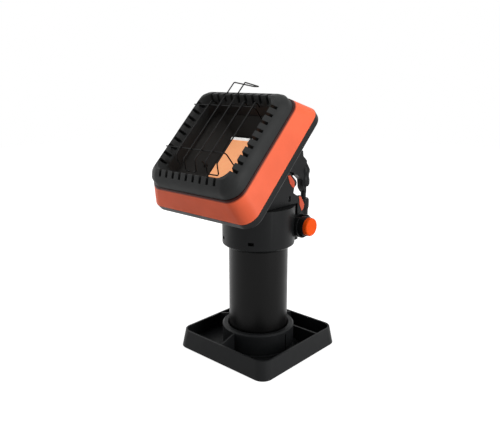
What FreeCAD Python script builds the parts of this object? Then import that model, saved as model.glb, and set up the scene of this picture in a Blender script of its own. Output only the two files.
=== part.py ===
import FreeCAD, Part
import math
import os
import re
import Sketcher

# Portable propane heater: a square tray holds an upright gas bottle, the heater screws onto the
# bottle's valve, and its square burner head tilts between two cheeks. Millimetres, +Z up.
# The origin is the middle of the tray's underside and the burner faces -Y.

doc = FreeCAD.newDocument("PropaneHeater")

SIZES = [
    ("tray_width", 197, "outside width of the tray at its foot"),
    ("tray_top_width", 188, "outside width of the tray at its lip"),
    ("tray_height", 31, "height of the tray's lip"),
    ("tray_corner", 19, "outside corner radius of the tray"),
    ("tray_wall", 3.2, "thickness of the tray's side wall"),
    ("tray_floor", 5, "thickness of the tray's floor"),
    ("tray_bevel", 1, "bevel round the tray's underside"),
    ("foot_depth", 3, "how deep the rubber pads sit in the tray"),
    ("foot_radius", 9, "radius of a rubber pad"),
    ("foot_inset", 23, "from the tray's side to a pad's middle"),
    ("cup_height", 43, "height of the bottle cup's rim"),
    ("cup_radius", 61.2, "outside radius of the bottle cup"),
    ("cup_floor", 8, "height that the bottle stands at"),
    ("cup_wall", 2.8, "wall of the hollow cup ring"),
    ("cup_clearance", 0.7, "gap from the bottle to the cup"),
    ("cup_round", 2.5, "rounding of the cup's rim"),
    ("cup_flange", 4.5, "width of the step round the cup's foot"),
    ("cup_flange_rise", 2, "height of that step"),
    ("cup_slot", 2.5, "width of the upright slot in the cup's right side"),
    ("rib_thickness", 3, "thickness of the tray's four ribs"),
    ("rib_drop", 3, "from the cup's rim down to a rib's top"),
    ("rib_lip_drop", 1, "from the tray's lip down to a rib's outer end"),
    ("side_rib_place", 48.3, "from the tray's middle to the rib on its right side"),
    ("bottle_radius", 49.5, "radius of the gas bottle"),
    ("bottle_wall", 1.5, "wall of the gas bottle"),
    ("bottle_ring_height", 8, "height of the bottle's foot ring"),
    ("bottle_ring_radius", 40, "outside radius of the foot ring"),
    ("bottle_ring_wall", 2.5, "wall of the foot ring"),
    ("bottle_top", 206, "height of the bottle's flat top"),
    ("bottle_shoulder", 20, "shoulder rounding of the bottle"),
    ("bottle_heel", 9, "rounding at the bottle's bottom"),
    ("valve_radius", 12.7, "radius of the bottle's threaded valve"),
    ("valve_height", 18, "height of the bottle's valve"),
    ("valve_bore", 7, "radius of the valve's bore"),
    ("valve_pin_radius", 2, "radius of the valve's pin"),
    ("valve_pin_height", 9, "height of the pin in the bore"),
    ("valve_seat_height", 4, "height of the bore's floor"),
    ("relief_radius", 4, "radius of the bottle's relief valve"),
    ("relief_height", 5, "height of the relief valve"),
    ("relief_place", 23, "from the bottle's axis to the relief valve"),
    ("collar_radius", 60.3, "outside radius of the collar"),
    ("collar_bottom", 186.5, "height where the collar's side starts"),
    ("collar_taper", 5.5, "height of the tapered ring below it"),
    ("collar_taper_in", 8.2, "how far that ring draws in"),
    ("collar_top", 250, "height of the collar's top"),
    ("collar_wall", 3, "wall of the collar and the rear box"),
    ("collar_round", 3, "rounding at the collar's bottom"),
    ("collar_clearance", 0.9, "gap from the bottle to the collar"),
    ("collar_guide", 9, "height of the collar's close fit on the bottle"),
    ("deck_thickness", 3, "thickness of the deck plate"),
    ("deck_ledge", 2, "width of the ledge under the deck plate"),
    ("deck_gap", 0.1, "gap round the deck plate"),
    ("box_half", 41, "half the width of the rear box"),
    ("box_rear", 60, "how far back the rear box reaches"),
    ("box_front", 12, "where the rear box starts in the collar"),
    ("box_corner", 9, "corner rounding of the rear box"),
    ("vent_width", 9.6, "width of a slot in the collar"),
    ("vent_height", 5.2, "height of a slot in the collar"),
    ("vent_place", 195.4, "height of the slots' lower edge"),
    ("vent_step", 60, "angle between the slots"),
    ("cheek_thickness", 4, "thickness of a cheek"),
    ("cheek_bevel", 0.8, "bevel round a cheek's outer face"),
    ("cheek_front", 32, "how far forward a cheek reaches"),
    ("inlay_sink", 1, "how deep a cheek's inlay sits"),
    ("inlay_proud", 0.6, "how far an inlay stands out"),
    ("pivot_y", 25, "place of the tilt axis behind the middle"),
    ("pivot_z", 261, "height of the tilt axis"),
    ("pin_radius", 3, "radius of the tilt pin"),
    ("pin_fit", 0.05, "running clearance on the tilt pin"),
    ("pin_recess", 2, "how deep the pin's ends lie in the cheeks"),
    ("pin_slot_width", 5.6, "width of the slot over a pin end"),
    ("pin_slot_height", 9, "height of the slot over a pin end"),
    ("washer_radius", 9, "radius of a friction washer"),
    ("side_gap", 0.3, "gap between moving side faces"),
    ("washer_thickness", 1.4, "thickness of a friction washer"),
    ("cowl_front", 40, "front face of the wall between the cheeks"),
    ("cowl_thickness", 5, "thickness of that wall"),
    ("cowl_height", 302, "height of that wall"),
    ("cowl_notch", 6, "depth of the wall's side notches"),
    ("cowl_notch_bottom", 254, "height of the notches' lower edge"),
    ("cowl_notch_top", 297, "height of the notches' upper edge"),
    ("cowl_tongue_half", 20, "half the width of the wall's raised middle"),
    ("cowl_tongue_top", 327, "height of the raised middle"),
    ("bar_radius", 4.8, "radius of the handle's bar"),
    ("bar_place", 122, "how far back the handle's bar stands"),
    ("bar_bottom", 222, "lower end of the bar"),
    ("bar_top", 285, "upper end of the bar"),
    ("bar_seat", 0.05, "clearance round the bar's ends"),
    ("bracket_half", 6.5, "half the width of a handle bracket"),
    ("upper_ferrule", 10.7, "radius of the upper bracket's end"),
    ("lower_ferrule", 10.5, "radius of the lower bracket's end"),
    ("upper_bracket_bottom", 266, "height of the upper bracket's lower edge"),
    ("upper_bracket_top", 328, "height of the upper bracket's top"),
    ("spine_depth", 11.2, "depth of the grip's spine before the bar"),
    ("lower_bracket_top", 241, "height of the lower bracket's top"),
    ("lower_bracket_bottom", 204, "height of the lower bracket's bottom"),
    ("knob_y", 45, "place of the knob's axis behind the middle"),
    ("knob_z", 215, "height of the knob's axis"),
    ("bezel_radius", 20.5, "radius of the knob's bezel"),
    ("bezel_length", 19, "how far the bezel stands out"),
    ("bezel_wall", 2.2, "wall of the bezel"),
    ("bezel_floor", 3, "thickness of the bezel's floor"),
    ("skirt_radius", 16, "radius of the knob's skirt"),
    ("skirt_length", 11, "length of the knob's skirt"),
    ("skirt_gap", 3.2, "gap from the bezel's end to the skirt's flange"),
    ("skirt_bore", 13.4, "radius of the hollow in the skirt"),
    ("cap_radius", 15.1, "radius of the knob's cap"),
    ("cap_length", 8, "length of the knob's cap"),
    ("cap_round", 2.6, "rounding of the knob's cap"),
    ("spindle_radius", 4, "radius of the valve's spindle"),
    ("spindle_fit", 0.06, "running clearance on the spindle"),
    ("spindle_start", 28.3, "inner end of the spindle"),
    ("spindle_seat", 3, "how far the spindle reaches into the knob"),
    ("plunger_radius", 2.5, "radius of the valve's plunger"),
    ("plunger_start", 16, "inner end of the plunger"),
    ("push_travel", 3, "how far the knob pushes in"),
    ("gas_block_left", 2, "left face of the gas valve"),
    ("gas_block_depth", 12, "depth of the gas valve front to back"),
    ("gas_block_bottom", 207, "underside of the gas valve"),
    ("gas_block_top", 238, "top of the gas valve"),
    ("nut_radius", 16, "radius of the inlet nut"),
    ("nut_height", 17, "height of the inlet nut"),
    ("thread_clearance", 0.3, "clearance between the nut and the bottle's valve"),
    ("nut_gap", 3, "gap from the bottle's top to the nut"),
    ("regulator_radius", 17, "radius of the regulator"),
    ("regulator_height", 14, "height of the regulator's body"),
    ("regulator_cap", 12, "radius of the regulator's cap"),
    ("probe_radius", 2.5, "radius of the probe that opens the valve"),
    ("probe_gap", 0.3, "gap from the probe to the valve's pin"),
    ("pipe_radius", 2.5, "outside radius of a gas pipe"),
    ("pipe_bore", 1.6, "bore radius of a gas pipe"),
    ("pipe_bend", 8, "bend radius of a gas pipe"),
    ("pipe_seat", 0.05, "clearance of a pipe in the part that it is brazed into"),
    ("pipe_x", 12, "where the riser pipe stands"),
    ("switch_width", 20, "width of the tip switch"),
    ("switch_depth", 18, "depth of the tip switch"),
    ("switch_height", 24, "height of the tip switch"),
    ("switch_wall", 2, "wall of the tip switch"),
    ("switch_forward", 2.5, "from the tilt axis forward to the switch's middle"),
    ("switch_ball", 5, "radius of the tip switch's ball"),
    ("igniter_width", 15, "width of the igniter"),
    ("igniter_height", 28, "height of the igniter"),
    ("swivel_radius", 9, "radius of the gas swivel"),
    ("swivel_width", 7, "width of each half of the gas swivel"),
    ("swivel_x", 9, "left face of the gas swivel"),
    ("head_tilt", 45, "angle that the burner faces above level"),
    ("head_drop", 10, "from the tilt axis down to the head's middle"),
    ("neck_half", 39, "half the width of the neck"),
    ("neck_wall", 3, "wall of the neck"),
    ("neck_eye", 9.5, "radius of the neck's eyes"),
    ("neck_end", 87, "from the tilt axis to the burner housing"),
    ("neck_rise", 40, "height of the neck at the burner housing"),
    ("back_width", 215, "width of the back shell"),
    ("back_corner", 23, "corner radius of the back shell"),
    ("back_depth", 13, "depth of the back shell's rim"),
    ("shell_wall", 3, "wall of the head's shells"),
    ("back_round", 4, "rounding of the back shell's rear edge"),
    ("hump_width", 96, "width of the burner housing on the back"),
    ("hump_height", 100, "height of the burner housing on the back"),
    ("hump_depth", 11, "depth of the burner housing on the back"),
    ("rim_width", 187.6, "width of the orange shell at the guard"),
    ("rim_corner", 25, "corner radius of the orange shell at the guard"),
    ("rim_depth", 34, "depth of the orange shell"),
    ("guard_width", 185.2, "width of the guard"),
    ("guard_corner", 26, "corner radius of the guard"),
    ("guard_height", 24, "height of the guard's ridge above the orange shell"),
    ("guard_ridge", 151, "width across the guard's ridge"),
    ("ridge_flat", 0.8, "width of the ridge's flat top"),
    ("guard_crease", 170.8, "width across the crease outside the ridge"),
    ("crease_rise", 17.7, "height of the crease"),
    ("guard_shoulder", 181, "width across the guard's shoulder"),
    ("shoulder_rise", 11, "height of the shoulder"),
    ("draft_rise", 7, "height where the inner wall starts to lean out"),
    ("guard_hollow", 176, "width of the hollow under the guard"),
    ("hollow_rise", 8, "height of that hollow"),
    ("guard_opening", 134, "width of the guard's opening"),
    ("guard_opening_corner", 13, "corner radius of the guard's opening"),
    ("guard_skin", 3, "thickness of the guard's skin"),
    ("guard_skirt", 12, "depth of the inner wall below the guard's foot"),
    ("slot_width", 4.8, "width of a slot in the guard"),
    ("slot_step", 14.3, "distance between the guard's slots"),
    ("slot_count", 9, "slots on each side of the guard"),
    ("slot_reach", 84.3, "how far out the slots reach"),
    ("slot_depth", 13, "depth of the slots"),
    ("pan_mouth_lip", 4, "width of the reflector's flat lip"),
    ("pan_thickness", 1, "thickness of the reflector"),
    ("tile_width", 52, "width of the burner tile"),
    ("tile_height", 78, "height of the burner tile"),
    ("tile_thickness", 9, "thickness of the burner tile"),
    ("tile_face", 111, "from the tilt axis to the tile's face"),
    ("tile_clearance", 0.3, "gap round the burner tile"),
    ("frame_wall", 3, "wall of the tile's frame"),
    ("gasket_thickness", 2, "thickness of the tile's gasket"),
    ("gasket_width", 3, "width of the tile's gasket"),
    ("plenum_wall", 1.2, "wall of the burner box"),
    ("shield_thickness", 0.8, "thickness of the heat shield"),
    ("shield_width", 170, "width of the heat shield"),
    ("mixer_radius", 6, "radius of the mixing tube"),
    ("mixer_wall", 1, "wall of the mixing tube"),
    ("mixer_length", 22, "length of the mixing tube"),
    ("jet_radius", 5, "radius of the gas jet"),
    ("jet_length", 10, "length of the gas jet"),
    ("sensor_radius", 2.4, "radius of the electrode's and the sensor's sleeves"),
    ("sensor_height", 17, "height of the sleeves above the heat shield"),
    ("sensor_tip", 9, "length of the bare tips"),
    ("sensor_tip_radius", 0.9, "radius of the bare tips"),
    ("sensor_offset", 38, "from the head's middle to a sleeve"),
    ("sensor_drop", 24, "from the head's middle down to the sleeves"),
    ("hole_clearance", 0.4, "gap round what passes through a sheet"),
    ("wire_radius", 1.0, "radius of the guard's wires"),
    ("wire_rise", 22, "height of the long wires above the orange shell"),
    ("wire_first", -27, "place of the first long wire"),
    ("wire_gap", 22.9, "distance between the long wires"),
    ("wire_bend", 4, "bend radius of the wires"),
    ("loop_rise", 112.5, "height of the wire loop above the head's middle"),
    ("loop_reach", 135.5, "height of the loop's tip"),
    ("loop_back", 33, "how far the loop's tip bends back"),
    ("hook_drop", 49.5, "where the lower ends of the wires turn in"),
    ("hook_depth", 15, "how deep the lower ends turn in"),
    ("cross_upper", 4, "slot that holds the upper cross wire"),
    ("cross_lower", -2, "slot that holds the lower cross wire"),
    ("cross_sag", 1.2, "how far the cross wires lie below their slots' middles"),
    ("cross_left", 84.5, "how far left the cross wires reach"),
    ("cross_right", 44, "how far right the cross wires reach"),
    ("cross_depth", 24, "how deep the cross wires' ends turn in"),
    ("screw_radius", 3.2, "radius of a screw head"),
    ("screw_head", 1.6, "height of a screw head"),
    ("screw_place", 84, "from the head's middle to a shell screw"),
]

sheet = doc.addObject("Spreadsheet::Sheet", "Sizes")
for row, (alias, size, meaning) in enumerate(SIZES, start=1):
    sheet.set("A%d" % row, alias)
    sheet.set("B%d" % row, str(size))
    sheet.set("C%d" % row, meaning)
    sheet.setAlias("B%d" % row, alias)
doc.recompute()

NAMES = {alias for alias, size, meaning in SIZES}
X_AXIS = FreeCAD.Vector(1, 0, 0)
Y_AXIS = FreeCAD.Vector(0, 1, 0)
Z_AXIS = FreeCAD.Vector(0, 0, 1)
subparts = []


def linked(text):
    """The same formula with each size named as a cell of the sheet."""
    def cell(match):
        word = match.group(0)
        return "Sizes." + word if word in NAMES else word
    return re.sub(r"[a-z_]+", cell, str(text))


def number(text):
    """The value of a formula."""
    return float(sheet.evalExpression(linked(text)))


def bind(obj, prop, text):
    """Drive one property of an object by a formula."""
    obj.setExpression(prop, linked(text))


def keep(obj, label, tilted=False):
    """Make an object a sub-part, in the head's tilted frame if asked."""
    if tilted:
        base = FreeCAD.Vector(0, number("pivot_y"), number("pivot_z"))
        obj.Placement = FreeCAD.Placement(base, FreeCAD.Rotation(X_AXIS, number("head_tilt")))
        bind(obj, "Placement.Base.y", "pivot_y")
        bind(obj, "Placement.Base.z", "pivot_z")
        bind(obj, "Placement.Rotation.Angle", "head_tilt")
    obj.Label = label
    subparts.append(obj)
    return obj


def place(obj, x, y, z):
    """Drive the position of an object."""
    bind(obj, "Placement.Base.x", x)
    bind(obj, "Placement.Base.y", y)
    bind(obj, "Placement.Base.z", z)


def box(name, x, y, z, width, depth, height):
    """Block from its low corner."""
    obj = doc.addObject("Part::Box", name)
    bind(obj, "Length", width)
    bind(obj, "Width", depth)
    bind(obj, "Height", height)
    place(obj, x, y, z)
    return obj


def rod(name, axis, radius, length, x, y, z):
    """Cylinder along x, y or z from its first end."""
    obj = doc.addObject("Part::Cylinder", name)
    turns = {"x": FreeCAD.Rotation(Y_AXIS, 90), "y": FreeCAD.Rotation(X_AXIS, -90),
             "z": FreeCAD.Rotation()}
    obj.Placement = FreeCAD.Placement(FreeCAD.Vector(), turns[axis])
    bind(obj, "Radius", radius)
    bind(obj, "Height", length)
    place(obj, x, y, z)
    return obj


def fuse(name, parts):
    """Union of two or more objects."""
    obj = doc.addObject("Part::MultiFuse", name)
    obj.Shapes = parts
    obj.Refine = True
    return obj


def cut(name, base, tools):
    """Base without the tools."""
    tool = tools[0] if len(tools) == 1 else fuse(name + "Tools", tools)
    obj = doc.addObject("Part::Cut", name)
    obj.Base = base
    obj.Tool = tool
    return obj


def group(name, parts):
    """Several solids kept as one sub-part."""
    obj = doc.addObject("Part::Compound", name)
    obj.Links = parts
    return obj


def new_body(name):
    return doc.addObject("PartDesign::Body", name)


def sketch_on(body, name, role, offset="0"):
    """Empty sketch on an origin plane of its own body."""
    sketch = body.newObject("Sketcher::SketchObject", name)
    plane = [item for item in body.Origin.OriginFeatures if item.Role == role][0]
    sketch.AttachmentSupport = [(plane, "")]
    sketch.MapMode = "FlatFace"
    sketch.AttachmentOffset = FreeCAD.Placement(FreeCAD.Vector(0, 0, number(offset)), FreeCAD.Rotation())
    bind(sketch, "AttachmentOffset.Base.z", offset)
    return sketch


def hold(sketch, kind, where, text):
    """Dimension that follows a formula."""
    index = sketch.addConstraint(Sketcher.Constraint(kind, *where, number(text)))
    bind(sketch, "Constraints[%d]" % index, text)


def polygon(sketch, points):
    """Closed straight-sided outline, each corner held by its two formulas."""
    spots = [FreeCAD.Vector(number(a), number(b), 0) for a, b in points]
    count = len(spots)
    for i in range(count):
        sketch.addGeometry(Part.LineSegment(spots[i], spots[(i + 1) % count]), False)
    for i in range(count):
        sketch.addConstraint(Sketcher.Constraint("Coincident", i, 2, (i + 1) % count, 1))
    for i, (a, b) in enumerate(points):
        hold(sketch, "DistanceX", (-1, 1, i, 1), a)
        hold(sketch, "DistanceY", (-1, 1, i, 1), b)


def rounded_box(sketch, width, height, radius, middle="0"):
    """Rectangle with round corners, level with the sketch's axes, its middle on the y axis."""
    w, h, r, m = number(width) / 2, number(height) / 2, number(radius), number(middle)
    corners = [(w - r, m - h + r, -90), (w - r, m + h - r, 0), (r - w, m + h - r, 90),
               (r - w, m - h + r, 180)]
    arcs = []
    for cx, cy, start in corners:
        circle = Part.Circle(FreeCAD.Vector(cx, cy, 0), Z_AXIS, r)
        arcs.append(Part.ArcOfCircle(circle, math.radians(start), math.radians(start + 90)))
    for i, arc in enumerate(arcs):
        sketch.addGeometry(arc, False)
        sketch.addGeometry(Part.LineSegment(arc.EndPoint, arcs[(i + 1) % 4].StartPoint), False)
    for i in range(8):
        sketch.addConstraint(Sketcher.Constraint("Tangent", i, 2, (i + 1) % 8, 1))
    for line in (1, 5):
        sketch.addConstraint(Sketcher.Constraint("Vertical", line))
    for line in (3, 7):
        sketch.addConstraint(Sketcher.Constraint("Horizontal", line))
    for arc in (2, 4, 6):
        sketch.addConstraint(Sketcher.Constraint("Equal", 0, arc))
    hold(sketch, "Radius", (0,), radius)
    hold(sketch, "DistanceX", (-1, 1, 1, 1), "(%s)/2" % width)
    hold(sketch, "DistanceX", (5, 1, -1, 1), "(%s)/2" % width)
    hold(sketch, "DistanceY", (-1, 1, 3, 1), "(%s) + (%s)/2" % (middle, height))
    hold(sketch, "DistanceY", (7, 1, -1, 1), "(%s)/2 - (%s)" % (height, middle))


def pad(body, sketch, length, midplane=False):
    """Solid from a sketch, along the sketch's normal."""
    feature = body.newObject("PartDesign::Pad", sketch.Name + "Pad")
    feature.Profile = sketch
    bind(feature, "Length", length)
    feature.Midplane = midplane
    return feature


def slab(name, role, points, start, length):
    """Body padded from a straight-sided outline."""
    body = new_body(name)
    outline = sketch_on(body, name + "Outline", role, start)
    polygon(outline, points)
    pad(body, outline, length)
    return body


def block(name, width, height, radius, middle, start, length):
    """Body with round corners padded along z."""
    body = new_body(name)
    outline = sketch_on(body, name + "Outline", "XY_Plane", start)
    rounded_box(outline, width, height, radius, middle)
    pad(body, outline, length)
    return body


def lathe(name, points):
    """Body turned about z from points given as radius and height."""
    body = new_body(name)
    outline = sketch_on(body, name + "Outline", "XZ_Plane")
    polygon(outline, points)
    turn(body, outline, "PartDesign::Revolution")
    return body


def turn(body, outline, kind):
    feature = body.newObject(kind, outline.Name + "Turn")
    feature.Profile = outline
    feature.ReferenceAxis = (outline, ["V_Axis"])
    feature.Angle = 360
    return feature


def loft(body, name, kind, start, end):
    """Loft between two rounded boxes given as width, height, radius, middle and level."""
    feature_sketches = []
    for tag, (width, height, radius, middle, level) in (("Start", start), ("End", end)):
        outline = sketch_on(body, name + tag, "XY_Plane", level)
        rounded_box(outline, width, height, radius, middle)
        feature_sketches.append(outline)
    feature = body.newObject(kind, name)
    feature.Profile = feature_sketches[0]
    feature.Sections = [feature_sketches[1]]
    feature.Ruled = True
    return feature


def soften(body, kind, size, wanted):
    """Fillet or chamfer on the edges that a test picks."""
    doc.recompute()
    tip = body.Tip
    names = ["Edge%d" % (i + 1) for i, edge in enumerate(tip.Shape.Edges) if wanted(edge)]
    feature = body.newObject(kind, body.Name + kind.split("::")[1] + str(len(body.Group)))
    feature.Base = (tip, names)
    bind(feature, "Radius" if kind.endswith("Fillet") else "Size", size)
    doc.recompute()
    return feature


def circle_at(radius, level):
    """Test for a round edge about z."""
    def wanted(edge):
        curve = edge.Curve
        return (isinstance(curve, Part.Circle) and abs(curve.Radius - number(radius)) < 1e-4
                and abs(curve.Center.z - number(level)) < 1e-4)
    return wanted


def level_edges(level):
    """Test for edges that lie wholly at one height."""
    def wanted(edge):
        bounds = edge.BoundBox
        return abs(bounds.ZMin - number(level)) < 1e-4 and abs(bounds.ZMax - number(level)) < 1e-4
    return wanted


def upright_edges(low, high):
    """Test for straight upright edges between two levels at least."""
    def wanted(edge):
        bounds = edge.BoundBox
        flat = bounds.XLength < 1e-4 and bounds.YLength < 1e-4
        return flat and bounds.ZMin < number(low) + 1e-4 and bounds.ZMax > number(high) - 1e-4
    return wanted


def wire_shape(points, radius, bend):
    """Round wire along straight runs joined by arcs."""
    spots = [FreeCAD.Vector(*point) for point in points]
    edges = []
    here = spots[0]
    for before, corner, after in zip(spots, spots[1:], spots[2:]):
        way_in = (corner - before).normalize()
        way_out = (after - corner).normalize()
        turn_angle = way_in.getAngle(way_out)
        reach = bend * math.tan(turn_angle / 2)
        start = corner - way_in * reach
        end = corner + way_out * reach
        middle_way = (way_out - way_in).normalize()
        middle = corner + middle_way * (bend / math.cos(turn_angle / 2) - bend)
        edges.append(Part.LineSegment(here, start).toShape())
        edges.append(Part.Arc(start, middle, end).toShape())
        here = end
    edges.append(Part.LineSegment(here, spots[-1]).toShape())
    path = Part.Wire(edges)
    first = (spots[1] - spots[0]).normalize()
    section = Part.Wire([Part.makeCircle(radius, spots[0], first)])
    return path.makePipeShell([section], True, False)


def free_shape(name, shape):
    obj = doc.addObject("Part::Feature", name)
    obj.Shape = shape
    return obj


# Tray

def make_tray():
    body = new_body("Tray")
    slope = "(tray_width - tray_top_width)/(tray_height - tray_bevel)"
    floor_top = "tray_floor"
    floor_inside = "tray_width - %s*(tray_floor - tray_bevel) - 2*tray_wall" % slope
    loft(body, "TrayFoot", "PartDesign::AdditiveLoft",
         ("tray_width - 2*tray_bevel", "tray_width - 2*tray_bevel", "tray_corner - tray_bevel", "0", "0"),
         ("tray_width", "tray_width", "tray_corner", "0", "tray_bevel"))
    loft(body, "TrayOuter", "PartDesign::AdditiveLoft",
         ("tray_width", "tray_width", "tray_corner", "0", "tray_bevel"),
         ("tray_top_width", "tray_top_width", "tray_corner", "0", "tray_height"))
    loft(body, "TrayInner", "PartDesign::SubtractiveLoft",
         (floor_inside, floor_inside, "tray_corner - tray_wall", "0", floor_top),
         ("tray_top_width - 2*tray_wall", "tray_top_width - 2*tray_wall", "tray_corner - tray_wall", "0",
          "tray_height"))
    bore = "(bottle_radius + cup_clearance)"
    cup = sketch_on(body, "CupOutline", "XZ_Plane")
    polygon(cup, [("0", "tray_bevel"), ("cup_radius + cup_flange", "tray_bevel"),
                  ("cup_radius + cup_flange", floor_top + " + cup_flange_rise"),
                  ("cup_radius", floor_top + " + cup_flange_rise"),
                  ("cup_radius", "cup_height - cup_round"), ("cup_radius - cup_round", "cup_height"),
                  (bore + " + cup_round", "cup_height"), (bore, "cup_height - cup_round"),
                  (bore, "cup_floor"), ("0", "cup_floor")])
    turn(body, cup, "PartDesign::Revolution")
    hollow = sketch_on(body, "CupHollowOutline", "XZ_Plane")
    polygon(hollow, [(bore + " + cup_wall", "-tray_bevel"), ("cup_radius - cup_wall", "-tray_bevel"),
                     ("cup_radius - cup_wall", "cup_height - cup_round - cup_wall"),
                     (bore + " + cup_wall", "cup_height - cup_round - cup_wall")])
    turn(body, hollow, "PartDesign::Groove")
    side = sketch_on(body, "SideRibOutline", "XZ_Plane", "-side_rib_place - rib_thickness/2")
    polygon(side, [("cup_radius - cup_wall/2 - side_rib_place/2 - 0.5", floor_top + " - 1"),
                   ("tray_width/2 - tray_wall", floor_top + " - 1"),
                   ("tray_top_width/2 - tray_wall/2", "tray_height - rib_lip_drop"),
                   ("cup_radius - cup_wall/2 - side_rib_place/2 - 0.5",
                    "tray_height - rib_lip_drop")])
    pad(body, side, "rib_thickness")
    rib = sketch_on(body, "RibOutline", "YZ_Plane")
    polygon(rib, [("cup_radius - cup_wall/2", floor_top + " - 1"),
                  ("tray_width/2 - tray_wall", floor_top + " - 1"),
                  ("tray_top_width/2 - tray_wall/2", "tray_height - rib_lip_drop"),
                  ("cup_radius - cup_wall/2", "cup_height - rib_drop")])
    rib_pad = pad(body, rib, "rib_thickness", midplane=True)
    doc.recompute()
    ribs = body.newObject("PartDesign::PolarPattern", "Ribs")
    ribs.Originals = [rib_pad]
    ribs.Axis = (rib, ["V_Axis"])
    ribs.Angle = 180
    ribs.Occurrences = 3
    body.Tip = ribs
    doc.recompute()
    pockets = []
    for side_x, side_y in ((-1, -1), (1, -1), (1, 1), (-1, 1)):
        x = "%d*(tray_width/2 - foot_inset)" % side_x
        y = "%d*(tray_width/2 - foot_inset)" % side_y
        pockets.append(rod("FootPocket%d" % len(pockets), "z", "foot_radius", "foot_depth + 1",
                           x, y, "-1"))
    slot_foot = "(tray_floor + cup_flange_rise)"
    slot = box("CupSlot", "cup_radius - cup_wall - 1", "-cup_slot/2", slot_foot, "cup_wall + 2", "cup_slot",
               "cup_height - cup_round - cup_wall - 1 - " + slot_foot)
    keep(cut("TrayCut", body, pockets + [slot]), "base_tray")


def make_feet():
    places = (("front_left", -1, -1), ("front_right", 1, -1), ("rear_right", 1, 1), ("rear_left", -1, 1))
    for name, side_x, side_y in places:
        x = "%d*(tray_width/2 - foot_inset)" % side_x
        y = "%d*(tray_width/2 - foot_inset)" % side_y
        foot = rod("Foot_" + name, "z", "foot_radius", "foot_depth", x, y, "0")
        keep(foot, "foot_" + name)


# Gas bottle

def make_bottle():
    foot = "(cup_floor + bottle_ring_height)"
    outer = lathe("BottleOuter", [("0", foot), ("bottle_radius", foot), ("bottle_radius", "bottle_top"),
                                  ("0", "bottle_top")])
    soften(outer, "PartDesign::Fillet", "bottle_shoulder", circle_at("bottle_radius", "bottle_top"))
    soften(outer, "PartDesign::Fillet", "bottle_heel", circle_at("bottle_radius", foot))
    inside = "(bottle_radius - bottle_wall)"
    inner = lathe("BottleInner", [("0", foot + " + bottle_wall"), (inside, foot + " + bottle_wall"),
                                  (inside, "bottle_top - bottle_wall"), ("0", "bottle_top - bottle_wall")])
    soften(inner, "PartDesign::Fillet", "bottle_shoulder - bottle_wall",
           circle_at(inside, "bottle_top - bottle_wall"))
    soften(inner, "PartDesign::Fillet", "bottle_heel - bottle_wall",
           circle_at(inside, foot + " + bottle_wall"))
    keep(cut("Bottle", outer, [inner]), "gas_bottle")
    ring = lathe("BottleRing", [("bottle_ring_radius - bottle_ring_wall", "cup_floor"),
                                ("bottle_ring_radius", "cup_floor"), ("bottle_ring_radius", foot),
                                ("bottle_ring_radius - bottle_ring_wall", foot)])
    keep(ring, "bottle_foot_ring")
    valve = lathe("BottleValve", [("0", "bottle_top"), ("valve_radius", "bottle_top"),
                                  ("valve_radius", "bottle_top + valve_height"),
                                  ("valve_bore", "bottle_top + valve_height"),
                                  ("valve_bore", "bottle_top + valve_seat_height"),
                                  ("0", "bottle_top + valve_seat_height")])
    keep(valve, "bottle_valve")
    keep(rod("ValvePin", "z", "valve_pin_radius", "valve_pin_height", "0", "0",
             "bottle_top + valve_seat_height"), "bottle_valve_pin")
    keep(rod("ReliefValve", "z", "relief_radius", "relief_height", "relief_place", "0", "bottle_top"),
         "bottle_relief_valve")


# Lower housing: collar with its rear box

def collar_vents():
    tools = []
    for count in (1, 2):
        angle = "(-vent_step*%d)" % count
        tool = doc.addObject("Part::Box", "Vent%d" % count)
        turned = FreeCAD.Rotation(Z_AXIS, number(angle))
        tool.Placement = FreeCAD.Placement(FreeCAD.Vector(), turned)
        bind(tool, "Placement.Rotation.Angle", "360 + " + angle)
        bind(tool, "Length", "collar_wall*4")
        bind(tool, "Width", "vent_width")
        bind(tool, "Height", "vent_height")
        place(tool,
              "(collar_radius - 2*collar_wall)*cos(%s*1deg) + vent_width/2*sin(%s*1deg)" % (angle, angle),
              "(collar_radius - 2*collar_wall)*sin(%s*1deg) - vent_width/2*cos(%s*1deg)" % (angle, angle),
              "vent_place")
        tools.append(tool)
    return tools


def rear_box(name, inset, bottom, top):
    """Upright box behind the collar, smaller by the inset."""
    body = slab(name, "XY_Plane", [("-box_half + (%s)" % inset, "box_front"),
                                   ("box_half - (%s)" % inset, "box_front"),
                                   ("box_half - (%s)" % inset, "box_rear - (%s)" % inset),
                                   ("-box_half + (%s)" % inset, "box_rear - (%s)" % inset)],
                bottom, "(%s) - (%s)" % (top, bottom))

    def rear_corner(edge):
        return upright_edges(bottom, top)(edge) and edge.BoundBox.YMin > number("box_rear - 2*collar_wall")
    soften(body, "PartDesign::Fillet", "box_corner - (%s)" % inset, rear_corner)
    return body


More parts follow.
